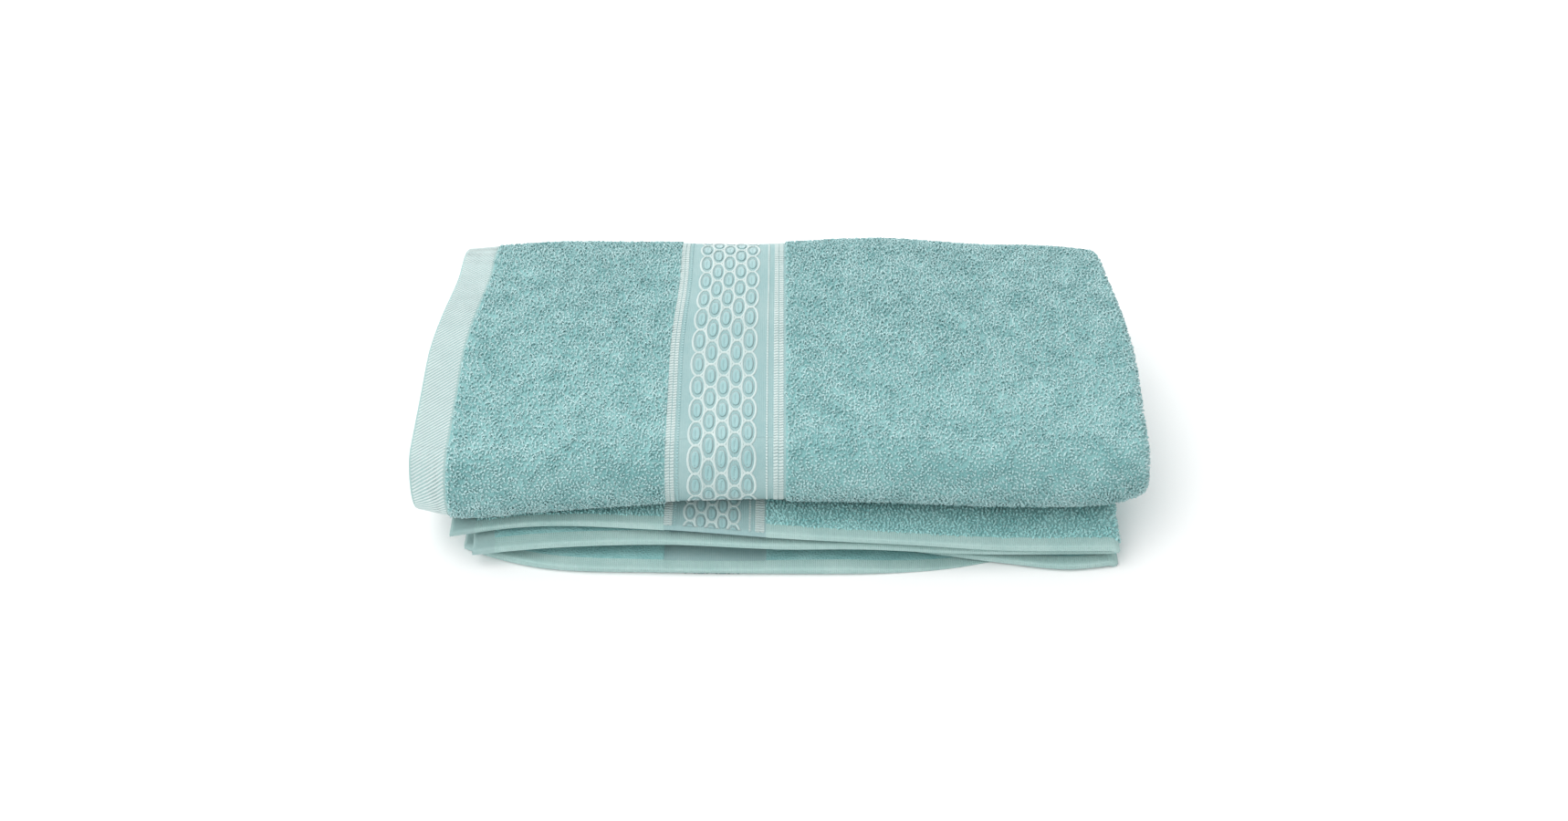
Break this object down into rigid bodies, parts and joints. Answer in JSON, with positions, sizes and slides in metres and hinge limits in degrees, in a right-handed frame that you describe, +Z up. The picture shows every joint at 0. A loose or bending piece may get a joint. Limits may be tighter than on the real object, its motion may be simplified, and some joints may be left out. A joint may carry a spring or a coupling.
{
  "type": "bath towel set",
  "caption": "Folded aqua terry bath towel with a woven honeycomb border, lying on its folded hand towel.",
  "frame": {"origin": "middle of the bottom of the whole stack", "axes": "+X along the long side, -Y to the front fold, +Z up"},
  "size_m": [0.35, 0.202, 0.0627],
  "materials": {
    "bath_towel_terry": "matt looped cotton terry",
    "hand_towel_terry": "matt looped cotton terry"
  },
  "bodies": {
    "hand_towel": {"hand_towel_lower_panel": "hand_towel_terry", "hand_towel_upper_panel": "hand_towel_terry", "hand_towel_rear_fold": "hand_towel_terry"},
    "bath_towel": {"bath_towel_base_panel": "bath_towel_terry", "bath_towel_inner_panel": "bath_towel_terry", "bath_towel_front_fold": "bath_towel_terry", "bath_towel_inner_fold": "bath_towel_terry"},
    "bath_flap": {"bath_flap_inner_panel": "bath_towel_terry", "bath_flap_top_panel": "bath_towel_terry", "bath_flap_rear_fold": "bath_towel_terry"}
  },
  "joints": [
    {"name": "bath_towel_lift", "type": "slide", "parent": "hand_towel", "child": "bath_towel", "axis": [0, 0, 1], "range_m": [0, 0.12]},
    {"name": "bath_flap_unfold", "type": "hinge", "parent": "bath_towel", "child": "bath_flap", "pos_m": [0, -0.07, 0.036], "axis": [1, 0, 0], "range_deg": [0, 60], "deforming": ["bath_towel_front_fold", "bath_towel_inner_fold"]}
  ]
}
